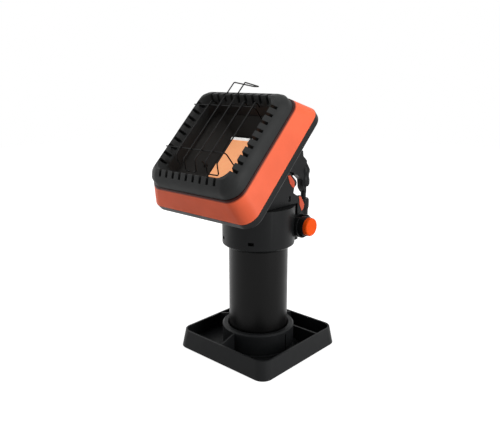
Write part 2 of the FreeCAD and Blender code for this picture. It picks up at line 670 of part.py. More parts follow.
def make_lower_housing():
    bottom = "collar_bottom - collar_taper"
    outer = lathe("CollarOuter", [("0", bottom), ("collar_radius - collar_taper_in", bottom),
                                  ("collar_radius", "collar_bottom"), ("collar_radius", "collar_top"),
                                  ("0", "collar_top")])
    soften(outer, "PartDesign::Fillet", "collar_round", circle_at("collar_radius", "collar_bottom"))
    shell = fuse("HousingOuter", [outer, rear_box("RearBoxOuter", "0", "collar_bottom", "collar_top")])
    guide = "(bottle_radius + collar_clearance)"
    cavity = "(collar_radius - collar_wall - deck_ledge)"
    ledge = "(collar_top - deck_thickness)"
    inner = lathe("CollarInner", [("0", bottom + " - 1"), (guide, bottom + " - 1"),
                                  (guide, bottom + " + collar_guide"), (cavity, bottom + " + collar_guide"),
                                  (cavity, ledge), ("collar_radius - collar_wall", ledge),
                                  ("collar_radius - collar_wall", "collar_top + 1"),
                                  ("0", "collar_top + 1")])
    floor = "collar_bottom - collar_taper + collar_guide"
    lower_inside = rear_box("RearBoxInner", "collar_wall + deck_ledge", floor,
                            "collar_top - deck_thickness")
    upper_inside = rear_box("RearBoxRebate", "collar_wall", "collar_top - deck_thickness", "collar_top + 1")
    spindle_hole = rod("SpindleHole", "x", "spindle_radius + hole_clearance",
                       "4*collar_wall + 2*deck_ledge",
                       "box_half - 2*collar_wall - 2*deck_ledge", "knob_y", "knob_z")
    keep(cut("Housing", shell, [inner, lower_inside, upper_inside, spindle_hole] + collar_vents()),
         "lower_housing")


def make_deck():
    edge = "collar_wall + deck_gap"
    disc = rod("DeckDisc", "z", "collar_radius - (%s)" % edge, "deck_thickness", "0", "0",
               "collar_top - deck_thickness")
    rear = rear_box("DeckRear", edge, "collar_top - deck_thickness", "collar_top")
    riser = rod("RiserHole", "z", "pipe_radius + hole_clearance", "deck_thickness + 2", "pipe_x", "pivot_y",
                "collar_top - deck_thickness - 1")
    heads = []
    seats = []
    for side_x in (-1, 1):
        for place_y in ("-collar_radius/2", "box_rear - 3*collar_wall"):
            x = "%d*(box_half - 3*collar_wall)" % side_x
            seats.append(rod("DeckScrewSeat%d" % len(heads), "z", "screw_radius + deck_gap",
                             "screw_head + 1",
                             x, place_y, "collar_top - screw_head"))
            heads.append(rod("DeckScrew%d" % len(heads), "z", "screw_radius", "screw_head", x, place_y,
                             "collar_top - screw_head"))
    keep(cut("Deck", fuse("DeckPlate", [disc, rear]), [riser] + seats), "deck_plate")
    keep(group("DeckScrews", heads), "deck_screws")


# Cheeks, the wall between them and their orange inlays

def about_pivot(points):
    """Outline points given as distances behind and above the tilt axis."""
    return [("pivot_y + (%s)" % back, "pivot_z + (%s)" % up) for back, up in points]


CHEEK = ([("-cheek_front", "collar_top + side_gap"), ("-cheek_front", "collar_top + side_gap + 3")]
         + about_pivot([(-12, 38), (-7, 41.5), (2.2, 41.5), (17, 28.4), (18.8, 25), (18.2, 20.5), (12.4, 16.4),
                        (10.8, 8.6), (13.2, 6.7), (22.2, 1.8), (30.5, 1.3), (40.8, -14.6), (39.5, -22.5),
                        (34, -27.5), (25, -30), (22, -30)])
         + [("pivot_y + 22", "collar_top + side_gap")])
UPPER_INLAY = about_pivot([(-6, 39), (0.5, 39), (11.6, 27.3), (12, 18), (8, 17), (0, 25)])
LOWER_INLAY = about_pivot([(24.2, 1), (29.6, 0), (39.4, -14.8), (37.8, -21.6), (32.4, -25.6),
                           (26.8, -14.5)])


def cheek(side, name):
    """One cheek: side is 1 for the right and -1 for the left."""
    inner = "box_half"
    start = inner if side > 0 else "-box_half - cheek_thickness"
    plate = slab(name + "Plate", "YZ_Plane", CHEEK, start, "cheek_thickness")
    face = number("box_half + cheek_thickness") * side

    def outer_edge(edge):
        bounds = edge.BoundBox
        return abs(bounds.XMin - face) < 1e-4 and abs(bounds.XMax - face) < 1e-4
    soften(plate, "PartDesign::Chamfer", "cheek_bevel", outer_edge)
    sunk = "box_half + cheek_thickness - inlay_sink"
    depth = "inlay_sink + inlay_proud"
    first = sunk if side > 0 else "-(%s) - (%s)" % (sunk, depth)
    tools = [slab(name + "UpperSeat", "YZ_Plane", UPPER_INLAY, first, depth),
             slab(name + "LowerSeat", "YZ_Plane", LOWER_INLAY, first, depth)]
    tools.append(rod(name + "PinHole", "x", "pin_radius", "cheek_thickness + 2",
                     "box_half - 1" if side > 0 else "-box_half - cheek_thickness - 1", "pivot_y",
                     "pivot_z"))
    tools.append(box(name + "PinSlot", "box_half + cheek_thickness - pin_recess" if side > 0
                     else "-box_half - cheek_thickness - 1", "pivot_y - pin_slot_width/2",
                     "pivot_z - pin_slot_height/2", "pin_recess + 1", "pin_slot_width", "pin_slot_height"))
    keep(cut(name, plate, tools), "cheek_" + ("right" if side > 0 else "left"))
    for tag, outline in (("upper", UPPER_INLAY), ("lower", LOWER_INLAY)):
        inlay = slab(name + tag.capitalize() + "Inlay", "YZ_Plane", outline, first, depth)
        keep(inlay, "inlay_%s_%s" % (tag, "right" if side > 0 else "left"))


def make_cowl():
    wall = slab("CowlWall", "YZ_Plane",
                [("cowl_front", "collar_top"), ("cowl_front + cowl_thickness", "collar_top"),
                                         ("cowl_front + cowl_thickness", "cowl_height - 2"),
                                         ("cowl_front + cowl_thickness - 2", "cowl_height"),
                                         ("cowl_front", "cowl_height")], "-box_half", "2*box_half")
    tongue = slab("CowlTongue", "YZ_Plane", [("cowl_front", "cowl_height - 10"),
                                             ("cowl_front + cowl_thickness", "cowl_height - 10"),
                                             ("cowl_front + cowl_thickness", "cowl_tongue_top - 2"),
                                             ("cowl_front + cowl_thickness - 2", "cowl_tongue_top"),
                                             ("cowl_front", "cowl_tongue_top")],
                  "-cowl_tongue_half", "2*cowl_tongue_half")
    notches = []
    for name, start in (("Right", "box_half - cowl_notch"), ("Left", "-box_half - 1")):
        notches.append(box("CowlNotch" + name, start, "cowl_front - 1", "cowl_notch_bottom",
                           "cowl_notch + 1",
                           "cowl_thickness + 2", "cowl_notch_top - cowl_notch_bottom"))
    keep(cut("Cowl", fuse("CowlBlank", [wall, tongue]), notches), "rear_cowl")


def make_tilt_pin():
    length = "2*(box_half + cheek_thickness - pin_recess)"
    keep(rod("TiltPin", "x", "pin_radius", length, "-(%s)/2" % length, "pivot_y", "pivot_z"), "tilt_pin")
    washers = []
    for side, name in ((-1, "left"), (1, "right")):
        start = "neck_half + side_gap" if side > 0 else "-neck_half - side_gap - washer_thickness"
        disc = rod("Washer_" + name, "x", "washer_radius", "washer_thickness", start, "pivot_y", "pivot_z")
        hole = rod("WasherHole_" + name, "x", "pin_radius", "washer_thickness + 2", start + " - 1",
                   "pivot_y", "pivot_z")
        washers.append(cut("TiltWasher_" + name, disc, [hole]))
    keep(group("TiltWashers", washers), "tilt_washers")


# Handle at the rear

def ferrule(name, profile):
    """Turned end of a handle bracket about the bar's axis."""
    body = lathe(name, profile)
    place(body, "0", "bar_place", "0")
    return body


def make_handle():
    back = "(cowl_front + cowl_thickness)"
    low = "lower_bracket_top"
    spine = "(bar_place - spine_depth)"
    arm = slab("UpperArm", "YZ_Plane", [
        (back, "upper_bracket_bottom + 24"), ("80", "upper_bracket_bottom + 24.5"),
        (spine + " - 16", "upper_bracket_bottom + 21"), (spine + " - 6", "upper_bracket_bottom + 15"),
        (spine, "upper_bracket_bottom + 10"), (spine + " + 2", "upper_bracket_bottom - 5"),
        (spine + " + 8", "upper_bracket_bottom - 13"), ("bar_place", "upper_bracket_bottom - 15"),
        ("bar_place", "upper_bracket_top - 19"),
        ("bar_place - 3", "upper_bracket_top - 16"),
        ("bar_place - 10.5", "upper_bracket_top - 10"), ("bar_place - 12", "upper_bracket_top"),
        (back, "upper_bracket_top - 2")], "-bracket_half", "2*bracket_half")
    top = ferrule("UpperFerrule", [
        ("0", "upper_bracket_bottom - 3"), ("upper_ferrule - 2", "upper_bracket_bottom - 3"),
        ("upper_ferrule", "upper_bracket_bottom + 1"), ("upper_ferrule", "upper_bracket_bottom + 9"),
        ("upper_ferrule - 1.2", "upper_bracket_bottom + 14"),
        ("upper_ferrule - 1.2", "upper_bracket_bottom + 18"),
        ("upper_ferrule", "upper_bracket_bottom + 23"), ("upper_ferrule", "upper_bracket_bottom + 27"),
        ("upper_ferrule - 2.5", "upper_bracket_bottom + 33"),
        ("upper_ferrule - 8", "upper_bracket_bottom + 43"),
        ("0", "upper_bracket_bottom + 45")])
    socket = rod("UpperSocket", "z", "bar_radius + bar_seat", "bar_top - lower_bracket_top + 1", "0",
                 "bar_place", "lower_bracket_top - 1")
    keep(cut("UpperBracket", fuse("UpperBracketBlank", [arm, top]), [socket]), "handle_bracket_upper")
    arm = slab("LowerArm", "YZ_Plane", [
        ("box_rear", "lower_bracket_bottom"), ("bar_place - 18", "lower_bracket_bottom"),
        ("bar_place", "lower_bracket_bottom + 2"), ("bar_place", low), (spine, low), ("80", low + " - 12"),
        ("box_rear", low + " - 14")], "-bracket_half", "2*bracket_half")
    end = ferrule("LowerFerrule", [
        ("0", "lower_bracket_bottom"), ("lower_ferrule - 3", "lower_bracket_bottom"),
        ("lower_ferrule - 1.6", "lower_bracket_bottom + 3"),
        ("lower_ferrule - 1.6", "lower_bracket_bottom + 15"),
        ("lower_ferrule", "lower_bracket_bottom + 22"), ("lower_ferrule", low + " - 3"),
        ("lower_ferrule - 1.5", low), ("0", low)])
    socket = rod("LowerSocket", "z", "bar_radius + bar_seat", "lower_bracket_top - bar_bottom + 1", "0",
                 "bar_place", "bar_bottom")
    collar_room = rod("BracketCollarRoom", "z", "collar_radius", "2*collar_top", "0", "0", "0")
    keep(cut("LowerBracket", fuse("LowerBracketBlank", [arm, end]), [socket, collar_room]),
         "handle_bracket_lower")
    keep(rod("HandleBar", "z", "bar_radius", "bar_top - bar_bottom", "0", "bar_place", "bar_bottom"),
         "handle_bar")


# Gas valve, knob and pipes

def make_gas_valve():
    right = "(box_half - collar_wall - deck_ledge)"
    blank = box("GasBlock", "gas_block_left", "knob_y - gas_block_depth/2", "gas_block_bottom",
                right + " - gas_block_left", "gas_block_depth", "gas_block_top - gas_block_bottom")
    wide = rod("SpindleBore", "x", "spindle_radius + spindle_fit",
               right + " - spindle_start + push_travel + 2",
               "spindle_start - push_travel - 1", "knob_y", "knob_z")
    narrow = rod("PlungerBore", "x", "plunger_radius + spindle_fit",
                 "spindle_start - plunger_start + push_travel + 1",
                 "plunger_start - push_travel - 1", "knob_y", "knob_z")
    keep(cut("GasValve", blank, [wide, narrow]), "gas_valve_body")
    keep(rod("Plunger", "x", "plunger_radius", "spindle_start - side_gap - plunger_start", "plunger_start",
             "knob_y", "knob_z"), "valve_plunger")


def make_knob():
    wall = "box_half"
    bezel_end = "(box_half + bezel_length)"
    blank = rod("BezelBlank", "x", "bezel_radius", "bezel_length", wall, "knob_y", "knob_z")
    hollow = rod("BezelHollow", "x", "bezel_radius - bezel_wall", "bezel_length - bezel_floor + 1",
                 wall + " + bezel_floor", "knob_y", "knob_z")
    hole = rod("BezelHole", "x", "spindle_radius + hole_clearance", "bezel_length + 2", wall + " - 1",
               "knob_y", "knob_z")
    cheek_room = box("BezelCheekRoom", wall + " - 1", "knob_y - bezel_radius - 1",
                     "pivot_z - 30 - side_gap", "bezel_length + 2", "2*bezel_radius + 2", "40")
    collar_room = rod("BezelCollarRoom", "z", "collar_radius", "2*collar_top", "0", "0", "0")
    keep(cut("Bezel", blank, [hollow, hole, cheek_room, collar_room]), "knob_bezel")
    skirt_start = bezel_end + " + skirt_gap - skirt_length/2"
    skirt = rod("SkirtBlank", "x", "skirt_radius", "skirt_length", skirt_start, "knob_y", "knob_z")
    skirt_hollow = rod("SkirtHollow", "x", "skirt_bore", "skirt_length/2 + 1", skirt_start + " - 1",
                       "knob_y", "knob_z")
    boss = rod("SkirtBoss", "x", "spindle_radius + 3", "skirt_length/2 + 1", skirt_start, "knob_y",
               "knob_z")
    seat = rod("SpindleSeat", "x", "spindle_radius", "skirt_length/2 + spindle_seat + 1",
               skirt_start + " - 1", "knob_y", "knob_z")
    skirt_cut = cut("SkirtShell", skirt, [skirt_hollow])
    keep(cut("Skirt", fuse("SkirtWithBoss", [skirt_cut, boss]), [seat]), "knob_skirt")
    cap_start = "(%s + skirt_length)" % skirt_start
    cap = new_body("CapBody")
    outline = sketch_on(cap, "CapOutline", "XY_Plane")
    polygon(outline, [("0", "0"), ("cap_radius", "0"), ("cap_radius", "cap_length - cap_round"),
                      ("cap_radius - cap_round*0.3", "cap_length - cap_round*0.3"),
                      ("cap_radius - cap_round", "cap_length"), ("0", "cap_length")])
    turn(cap, outline, "PartDesign::Revolution")
    # The cap is turned about its sketch's vertical axis, which this placement lays along x.
    cap.Placement = FreeCAD.Placement(FreeCAD.Vector(), FreeCAD.Rotation(Z_AXIS, -90))
    place(cap, cap_start, "knob_y", "knob_z")
    keep(cap, "knob_cap")
    spindle_end = skirt_start + " + skirt_length/2 + spindle_seat"
    keep(rod("Spindle", "x", "spindle_radius", "%s - spindle_start" % spindle_end, "spindle_start",
             "knob_y",
             "knob_z"), "valve_spindle")


def make_regulator():
    nut_bottom = "(bottle_top + nut_gap)"
    nut_top = "(bottle_top + nut_gap + nut_height)"
    nut_bore = "(valve_radius + thread_clearance)"
    keep(lathe("InletNut", [(nut_bore, nut_bottom), ("nut_radius", nut_bottom), ("nut_radius", nut_top),
                            (nut_bore, nut_top)]), "inlet_nut")
    top = "(%s + regulator_height)" % nut_top
    pin_top = "(bottle_top + valve_seat_height + valve_pin_height + probe_gap)"
    turned = lathe("Regulator", [("0", pin_top), ("probe_radius", pin_top), ("probe_radius", nut_top),
                                 ("regulator_radius", nut_top), ("regulator_radius", top),
                                 ("regulator_cap", top), ("regulator_cap", "collar_top - deck_thickness"),
                                 ("0", "collar_top - deck_thickness")])
    feed_level = "(%s + regulator_height/2)" % nut_top
    start = "(regulator_radius - 1)"
    socket = rod("FeedSocket", "y", "pipe_radius + pipe_seat", "regulator_radius", "gas_block_left + 3",
                 start, feed_level)
    keep(cut("RegulatorBody", turned, [socket]), "gas_regulator")
    feed = rod("FeedOuter", "y", "pipe_radius", "knob_y - gas_block_depth/2 - %s" % start,
               "gas_block_left + 3", start, feed_level)
    bore = rod("FeedBore", "y", "pipe_bore", "knob_y - gas_block_depth/2 - %s + 2" % start,
               "gas_block_left + 3", start + " - 1", feed_level)
    keep(cut("FeedPipe", feed, [bore]), "feed_pipe")


def make_riser():
    """Bent pipe from the gas valve up to the swivel on the tilt axis."""
    x = number("pipe_x")
    face = number("knob_y - gas_block_depth/2")
    level = number("knob_z + 4")
    top = number("pivot_z - swivel_radius")
    path = [(x, face, level), (x, number("pivot_y"), level), (x, number("pivot_y"), top)]
    outer = wire_shape(path, number("pipe_radius"), number("pipe_bend"))
    inner = wire_shape(path, number("pipe_bore"), number("pipe_bend"))
    keep(free_shape("RiserPipe", outer.cut(inner)), "riser_pipe")


def make_switch_and_igniter():
    hung = "(collar_top - deck_thickness)"
    case_x = "-box_half + 2*collar_wall + 2*deck_ledge"
    case = box("SwitchBlank", case_x, "pivot_y - switch_forward - switch_depth/2", hung + " - switch_height",
               "switch_width", "switch_depth", "switch_height")
    room = box("SwitchRoom", case_x + " + switch_wall",
               "pivot_y - switch_forward - switch_depth/2 + switch_wall",
               hung + " - switch_height + switch_wall", "switch_width - 2*switch_wall",
               "switch_depth - 2*switch_wall", "switch_height - 2*switch_wall")
    keep(cut("SwitchCase", case, [room]), "tip_switch_case")
    ball = doc.addObject("Part::Sphere", "SwitchBall")
    bind(ball, "Radius", "switch_ball")
    place(ball, case_x + " + switch_width/2", "pivot_y - switch_forward",
          hung + " - switch_height + switch_wall + switch_ball + side_gap")
    keep(ball, "tip_switch_ball")
    keep(box("Igniter", case_x, "knob_y - igniter_width/2 + 2", hung + " - igniter_height", "igniter_width",
             "igniter_width - 4", "igniter_height"), "igniter_module")


def make_swivel():
    for name, start, tilted in (("swivel_inlet", "swivel_x", False),
                                ("swivel_outlet", "swivel_x + swivel_width + side_gap", True)):
        y, z = ("0", "0") if tilted else ("pivot_y", "pivot_z")
        disc = rod(name + "_disc", "x", "swivel_radius", "swivel_width", start, y, z)
        bore = rod(name + "_bore", "x", "pin_radius + pin_fit" if tilted else "pin_radius",
                   "swivel_width + 2", start + " - 1", y, z)
        tools = [bore]
        if tilted:
            tools.append(rod("OutletSocket", "z", "pipe_radius + pipe_seat", "swivel_radius", JET_X, "0",
                             "swivel_radius - 1"))
        keep(cut(name + "_body", disc, tools), name, tilted)


# Tilting head, in its own frame: z points out of the burner and the tilt axis is x

MIDDLE = "-head_drop"
REAR = "(neck_end + hump_depth)"
SHELL = "(neck_end + hump_depth + back_depth)"
RIM = "(neck_end + hump_depth + back_depth + rim_depth)"
CREST = "(neck_end + hump_depth + back_depth + rim_depth + guard_height)"
JET_X = "(swivel_x + swivel_width*1.5 + side_gap)"


def make_neck():
    flank = [("-neck_eye", "0"), ("-neck_eye", "neck_end"), ("neck_rise", "neck_end"),
             ("neck_rise", "neck_end - 8"), ("neck_eye", "0")]
    plate = slab("NeckPlate", "YZ_Plane", flank, "-neck_half", "2*neck_half")
    eyes = rod("NeckEyes", "x", "neck_eye", "2*neck_half", "-neck_half", "0", "0")
    inside = slab("NeckInside", "YZ_Plane", [
        ("-neck_eye - 5", "-neck_eye - 5"), ("-neck_eye - 5", "2*swivel_radius"),
        ("-neck_eye + neck_wall", "2*swivel_radius"), ("-neck_eye + neck_wall", "neck_end - neck_wall"),
        ("neck_rise - neck_wall", "neck_end - neck_wall"), ("neck_eye + 5", "2*swivel_radius"),
        ("neck_eye + 5", "-neck_eye - 5")], "-neck_half + neck_wall", "2*(neck_half - neck_wall)")
    bore = rod("NeckBore", "x", "pin_radius + pin_fit", "2*neck_half + 2", "-neck_half - 1", "0", "0")
    jet_hole = rod("NeckJetHole", "z", "mixer_radius + hole_clearance", "2*neck_wall", JET_X, "0",
                   "neck_end - neck_wall - 1")
    keep(cut("Neck", fuse("NeckBlank", [plate, eyes]), [inside, bore, jet_hole]), "tilt_neck", tilted=True)


def make_back_shell():
    rim = block("BackRim", "back_width", "back_width", "back_corner", MIDDLE, REAR, "back_depth")
    soften(rim, "PartDesign::Fillet", "back_round", level_edges(REAR))
    hump = block("BackHump", "hump_width", "hump_height", "10", MIDDLE, "neck_end",
                 "hump_depth + shell_wall")
    room = block("BackRoom", "back_width - 2*shell_wall", "back_width - 2*shell_wall",
                 "back_corner - shell_wall", MIDDLE, REAR + " + shell_wall", "back_depth")
    hump_room = block("HumpRoom", "hump_width - 2*shell_wall", "hump_height - 2*shell_wall", "8", MIDDLE,
                      "neck_end + shell_wall/2", "hump_depth + 2*shell_wall")
    jet_hole = rod("BackJetHole", "z", "mixer_radius + hole_clearance", "4*shell_wall", JET_X, "0",
                   "neck_end - shell_wall")
    keep(cut("BackShell", fuse("BackBlank", [rim, hump]), [room, hump_room, jet_hole]), "back_shell",
         tilted=True)
    heads = []
    for side_x in (-1, 1):
        for side_y in (-1, 1):
            heads.append(rod("ShellScrew%d" % len(heads), "z", "screw_radius", "screw_head",
                             "%d*screw_place" % side_x, "%s + %d*screw_place" % (MIDDLE, side_y),
                             REAR + " - screw_head"))
    keep(group("ShellScrews", heads), "shell_screws", tilted=True)


def make_orange_shell():
    body = new_body("OrangeShell")
    loft(body, "OrangeOuter", "PartDesign::AdditiveLoft",
         ("back_width", "back_width", "back_corner", MIDDLE, SHELL),
         ("rim_width", "rim_width", "rim_corner", MIDDLE, RIM))
    loft(body, "OrangeInner", "PartDesign::SubtractiveLoft",
         ("back_width - 2*shell_wall", "back_width - 2*shell_wall", "back_corner - shell_wall", MIDDLE,
          SHELL),
         ("rim_width - 2*shell_wall", "rim_width - 2*shell_wall", "rim_corner - shell_wall", MIDDLE, RIM))
    keep(body, "orange_shell", tilted=True)


def guard_level(width, level):
    """Section of the guard's outside, its corners about the same middles at each level."""
    return (width, width, "guard_corner - (guard_width - %s)/2" % width, MIDDLE, level)


def make_guard():
    outer = new_body("GuardOuter")
    levels = [guard_level("guard_width", RIM), guard_level("guard_shoulder", RIM + " + shoulder_rise"),
              guard_level("guard_crease", RIM + " + crease_rise"),
              guard_level("(guard_ridge + ridge_flat)", CREST)]
    for i in range(3):
        loft(outer, "GuardStage%d" % i, "PartDesign::AdditiveLoft", levels[i], levels[i + 1])
    inner_wall = "(guard_opening + 2*guard_skin)"
    wall_corner = "guard_opening_corner + guard_skin"
    skirt = block("GuardSkirt", inner_wall, inner_wall, wall_corner, MIDDLE, RIM + " - guard_skirt",
                  "guard_skirt + hollow_rise")
    under = block("GuardUnder", "guard_hollow", "guard_hollow",
                  "guard_corner - (guard_width - guard_hollow)/2", MIDDLE, RIM + " - 1", "hollow_rise + 1")
    hollow = cut("GuardHollow", under, [block("GuardKeepWall", inner_wall, inner_wall, wall_corner, MIDDLE,
                                              RIM + " - 5", "hollow_rise + 10")])
    opening = block("GuardOpening", "guard_opening", "guard_opening", "guard_opening_corner", MIDDLE,
                    RIM + " - guard_skirt - 1", "guard_skirt + draft_rise + 1")
    draft = new_body("GuardDraft")
    loft(draft, "GuardLean", "PartDesign::AdditiveLoft",
         ("guard_opening", "guard_opening", "guard_opening_corner", MIDDLE, RIM + " + draft_rise"),
         ("guard_ridge - ridge_flat", "guard_ridge - ridge_flat",
          "guard_opening_corner + (guard_ridge - ridge_flat - guard_opening)/2", MIDDLE, CREST))
    tools = [hollow, opening, draft]
    half = int(number("slot_count")) // 2
    for i in range(-half, half + 1):
        across = "%d*slot_step - slot_width/2" % i
        tools.append(box("SlotUp%d" % (i + half), across, MIDDLE + " - slot_reach", CREST + " - slot_depth",
                         "slot_width", "2*slot_reach", "slot_depth + 1"))
        tools.append(box("SlotOver%d" % (i + half), "-slot_reach", MIDDLE + " + " + across,
                         CREST + " - slot_depth", "2*slot_reach", "slot_width", "slot_depth + 1"))
    notch = "(wire_radius + hole_clearance)"
    for i in range(2):
        tools.append(box("WireNotch%d" % i, "wire_first + %d*wire_gap - %s" % (i, notch),
                         MIDDLE + " + guard_opening/2 - 1", RIM + " + wire_rise - " + notch, "2*" + notch,
                         "slot_reach - guard_opening/2 + 1", "guard_height"))
    keep(cut("Guard", fuse("GuardBlank", [outer, skirt]), tools), "front_guard", tilted=True)


def make_reflector():
    mouth = "(guard_opening + 2*pan_mouth_lip)"
    low_w = "(tile_width + 2*frame_wall)"
    low_h = "(tile_height + 2*frame_wall)"
    top = RIM + " - guard_skirt"
    body = new_body("Reflector")
    outline = sketch_on(body, "PanLip", "XY_Plane", top + " - pan_thickness")
    rounded_box(outline, mouth, mouth, "guard_opening_corner + pan_mouth_lip", MIDDLE)
    pad(body, outline, "pan_thickness")
    loft(body, "PanOuter", "PartDesign::AdditiveLoft",
         ("guard_opening", "guard_opening", "guard_opening_corner", MIDDLE, top + " - pan_thickness"),
         (low_w, low_h, "6", MIDDLE, "tile_face"))
    inside = "(guard_opening - 2*pan_thickness)"
    loft(body, "PanInner", "PartDesign::SubtractiveLoft",
         (inside, inside, "guard_opening_corner - pan_thickness", MIDDLE, top),
         (low_w + " - 2*pan_thickness", low_h + " - 2*pan_thickness", "5", MIDDLE, "tile_face"))
    holes = []
    for side in (-1, 1):
        holes.append(rod("PanHole%d" % (side + 1), "z", "sensor_radius + hole_clearance", "60",
                         "%d*sensor_offset" % side, MIDDLE + " - sensor_drop", REAR))
    keep(cut("ReflectorPan", body, holes), "reflector_pan", tilted=True)


def make_burner():
    back = "(tile_face - tile_thickness)"
    tile = box("Tile", "-tile_width/2", MIDDLE + " - tile_height/2", back, "tile_width", "tile_height",
               "tile_thickness")
    keep(group("BurnerTile", [tile]), "burner_tile", tilted=True)
    frame_w = "(tile_width + 2*frame_wall)"
    frame_h = "(tile_height + 2*frame_wall)"
    gasket_back = "(tile_face - tile_thickness - gasket_thickness)"

    def ring(name, width, height, wall, start, length):
        outer = box(name + "Outer", "-(%s)/2" % width, MIDDLE + " - (%s)/2" % height, start, width,
                    height, length)
        inner = box(name + "Inner", "-(%s)/2 + (%s)" % (width, wall),
                    MIDDLE + " - (%s)/2 + (%s)" % (height, wall),
                    start + " - 1", "(%s) - 2*(%s)" % (width, wall), "(%s) - 2*(%s)" % (height, wall),
                    "(%s) + 2" % length)
        return cut(name, outer, [inner])
    keep(ring("TileFrame", frame_w, frame_h, "frame_wall - tile_clearance", gasket_back,
              "tile_thickness + gasket_thickness - pan_thickness"), "tile_frame", tilted=True)
    keep(ring("TileGasket", "tile_width", "tile_height", "gasket_width", gasket_back, "gasket_thickness"),
         "tile_gasket", tilted=True)
    bottom = "(neck_end + shell_wall/2)"
    depth = "(%s - %s)" % (gasket_back, bottom)
    outer = box("PlenumOuter", "-(%s)/2" % frame_w, MIDDLE + " - (%s)/2" % frame_h, bottom, frame_w,
                frame_h, depth)
    inner = box("PlenumInner", "-(%s)/2 + plenum_wall + gasket_width" % frame_w,
                MIDDLE + " - (%s)/2 + plenum_wall + gasket_width" % frame_h, bottom + " + plenum_wall",
                frame_w + " - 2*plenum_wall - 2*gasket_width",
                frame_h + " - 2*plenum_wall - 2*gasket_width", depth)
    entry = rod("PlenumEntry", "z", "mixer_radius - mixer_wall", "4*plenum_wall", JET_X, "0",
                bottom + " - plenum_wall")
    keep(cut("Plenum", outer, [inner, entry]), "burner_box", tilted=True)
    start = bottom + " - mixer_length"
    tube = rod("MixerOuter", "z", "mixer_radius", "mixer_length", JET_X, "0", start)
    bore = rod("MixerBore", "z", "mixer_radius - mixer_wall", "mixer_length + 2", JET_X, "0",
               start + " - 1")
    air = rod("MixerAir", "x", "mixer_radius*0.4", "4*mixer_radius", JET_X + " - 2*mixer_radius", "0",
              start + " + mixer_radius + 4")
    keep(cut("MixingTube", tube, [bore, air]), "mixing_tube", tilted=True)
    keep(group("GasJetGroup", [rod("GasJet", "z", "jet_radius", "jet_length", JET_X, "0",
                                   start + " - jet_length/2")]), "gas_jet", tilted=True)
    pipe_top = "(%s - jet_length/2)" % start
    pipe = rod("HeadPipeOuter", "z", "pipe_radius", pipe_top + " - swivel_radius + 1", JET_X, "0",
               "swivel_radius - 1")
    pipe_bore = rod("HeadPipeBore", "z", "pipe_bore", pipe_top + " - swivel_radius + 3", JET_X, "0",
                    "swivel_radius - 2")
    keep(cut("HeadPipe", pipe, [pipe_bore]), "head_pipe", tilted=True)
    shield = block("ShieldBlank", "shield_width", "shield_width", "14", MIDDLE, REAR + " + shell_wall",
                   "shield_thickness")
    window = block("ShieldWindow", frame_w + " + 2*hole_clearance", frame_h + " + 2*hole_clearance", "1",
                   MIDDLE, REAR, "2*shell_wall + 2")
    keep(cut("HeatShield", shield, [window]), "heat_shield", tilted=True)
    seat = REAR + " + shell_wall + shield_thickness"
    for side, name in ((1, "spark_electrode"), (-1, "heat_sensor")):
        x = "%d*sensor_offset" % side
        y = MIDDLE + " - sensor_drop"
        sleeve = rod(name + "_sleeve", "z", "sensor_radius", "sensor_height", x, y, seat)
        tip = rod(name + "_tip", "z", "sensor_tip_radius", "sensor_tip", x, y, "%s + sensor_height" % seat)
        keep(fuse(name + "_body", [sleeve, tip]), name, tilted=True)


def make_wires():
    """Welded wires in front of the burner: two long hairpins and two cross wires."""
    radius = number("wire_radius")
    bend = number("wire_bend")
    top = number(RIM + " + wire_rise")
    middle = number(MIDDLE)
    first = number("wire_first")
    gap = number("wire_gap")
    hook = middle - number("hook_drop")
    turned_in = hook - number("hook_depth") * 0.7
    deep = top - number("hook_depth")
    loop = middle + number("loop_rise") - number("head_drop")
    reach = middle + number("loop_reach") - number("head_drop")
    back = top - number("loop_back")
    inset = 6
    left, right = first, first + gap
    path = [(left + 3 * inset / 2, turned_in, deep), (left, turned_in, deep), (left, hook, top),
            (left, loop, top), (left + inset, reach, back), (right - inset, reach, back),
            (right, loop, top),
            (right, hook, top), (right, turned_in, deep), (right - inset, turned_in, deep)]
    keep(free_shape("HairpinLeft", wire_shape(path, radius, bend)), "guard_wire_left", tilted=True)
    left, right = first + 2 * gap, first + 3 * gap
    end = middle + number("guard_opening/2 - 2*wire_radius")
    low = top - number("guard_skirt")
    path = [(left, end, low), (left, end, top), (left, hook, top), (left, turned_in, deep),
            (right, turned_in, deep), (right, hook, top), (right, end, top), (right, end, low)]
    keep(free_shape("HairpinRight", wire_shape(path, radius, bend)), "guard_wire_right", tilted=True)
    under = top - 2 * radius
    for name, slot in (("upper", "cross_upper"), ("lower", "cross_lower")):
        height = middle + number(slot + "*slot_step - cross_sag")
        right = number("cross_right")
        path = [(-number("cross_left"), height, under), (right, height, under),
                (right, height - bend / 2, under - number("cross_depth"))]
        keep(free_shape("Cross_" + name, wire_shape(path, radius, bend)), "guard_cross_" + name,
             tilted=True)


make_tray()
make_feet()
make_bottle()
make_lower_housing()
make_deck()
cheek(1, "CheekRight")
cheek(-1, "CheekLeft")
make_cowl()
make_tilt_pin()
make_handle()
make_gas_valve()
make_knob()
make_regulator()
make_riser()
make_switch_and_igniter()
make_swivel()
make_neck()
make_back_shell()
make_orange_shell()
make_guard()
make_reflector()
make_burner()
make_wires()
doc.recompute()

for obj in doc.Objects:
    bad = [state for state in obj.State if state in ("Invalid", "Error")]
    if bad:
        raise RuntimeError("%s did not recompute: %s" % (obj.Name, bad))
os.makedirs("parts", exist_ok=True)
for obj in subparts:
    shape = obj.Shape
    if shape.isNull() or not shape.isValid() or not shape.Solids:
        raise RuntimeError("%s has no valid solid" % obj.Label)
    shape.exportStep("parts/%s.step" % obj.Label)
    print("%-22s solids %d volume %.0f" % (obj.Label, len(shape.Solids), shape.Volume))
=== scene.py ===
import math

import bmesh
import bpy
from mathutils import Matrix, Vector


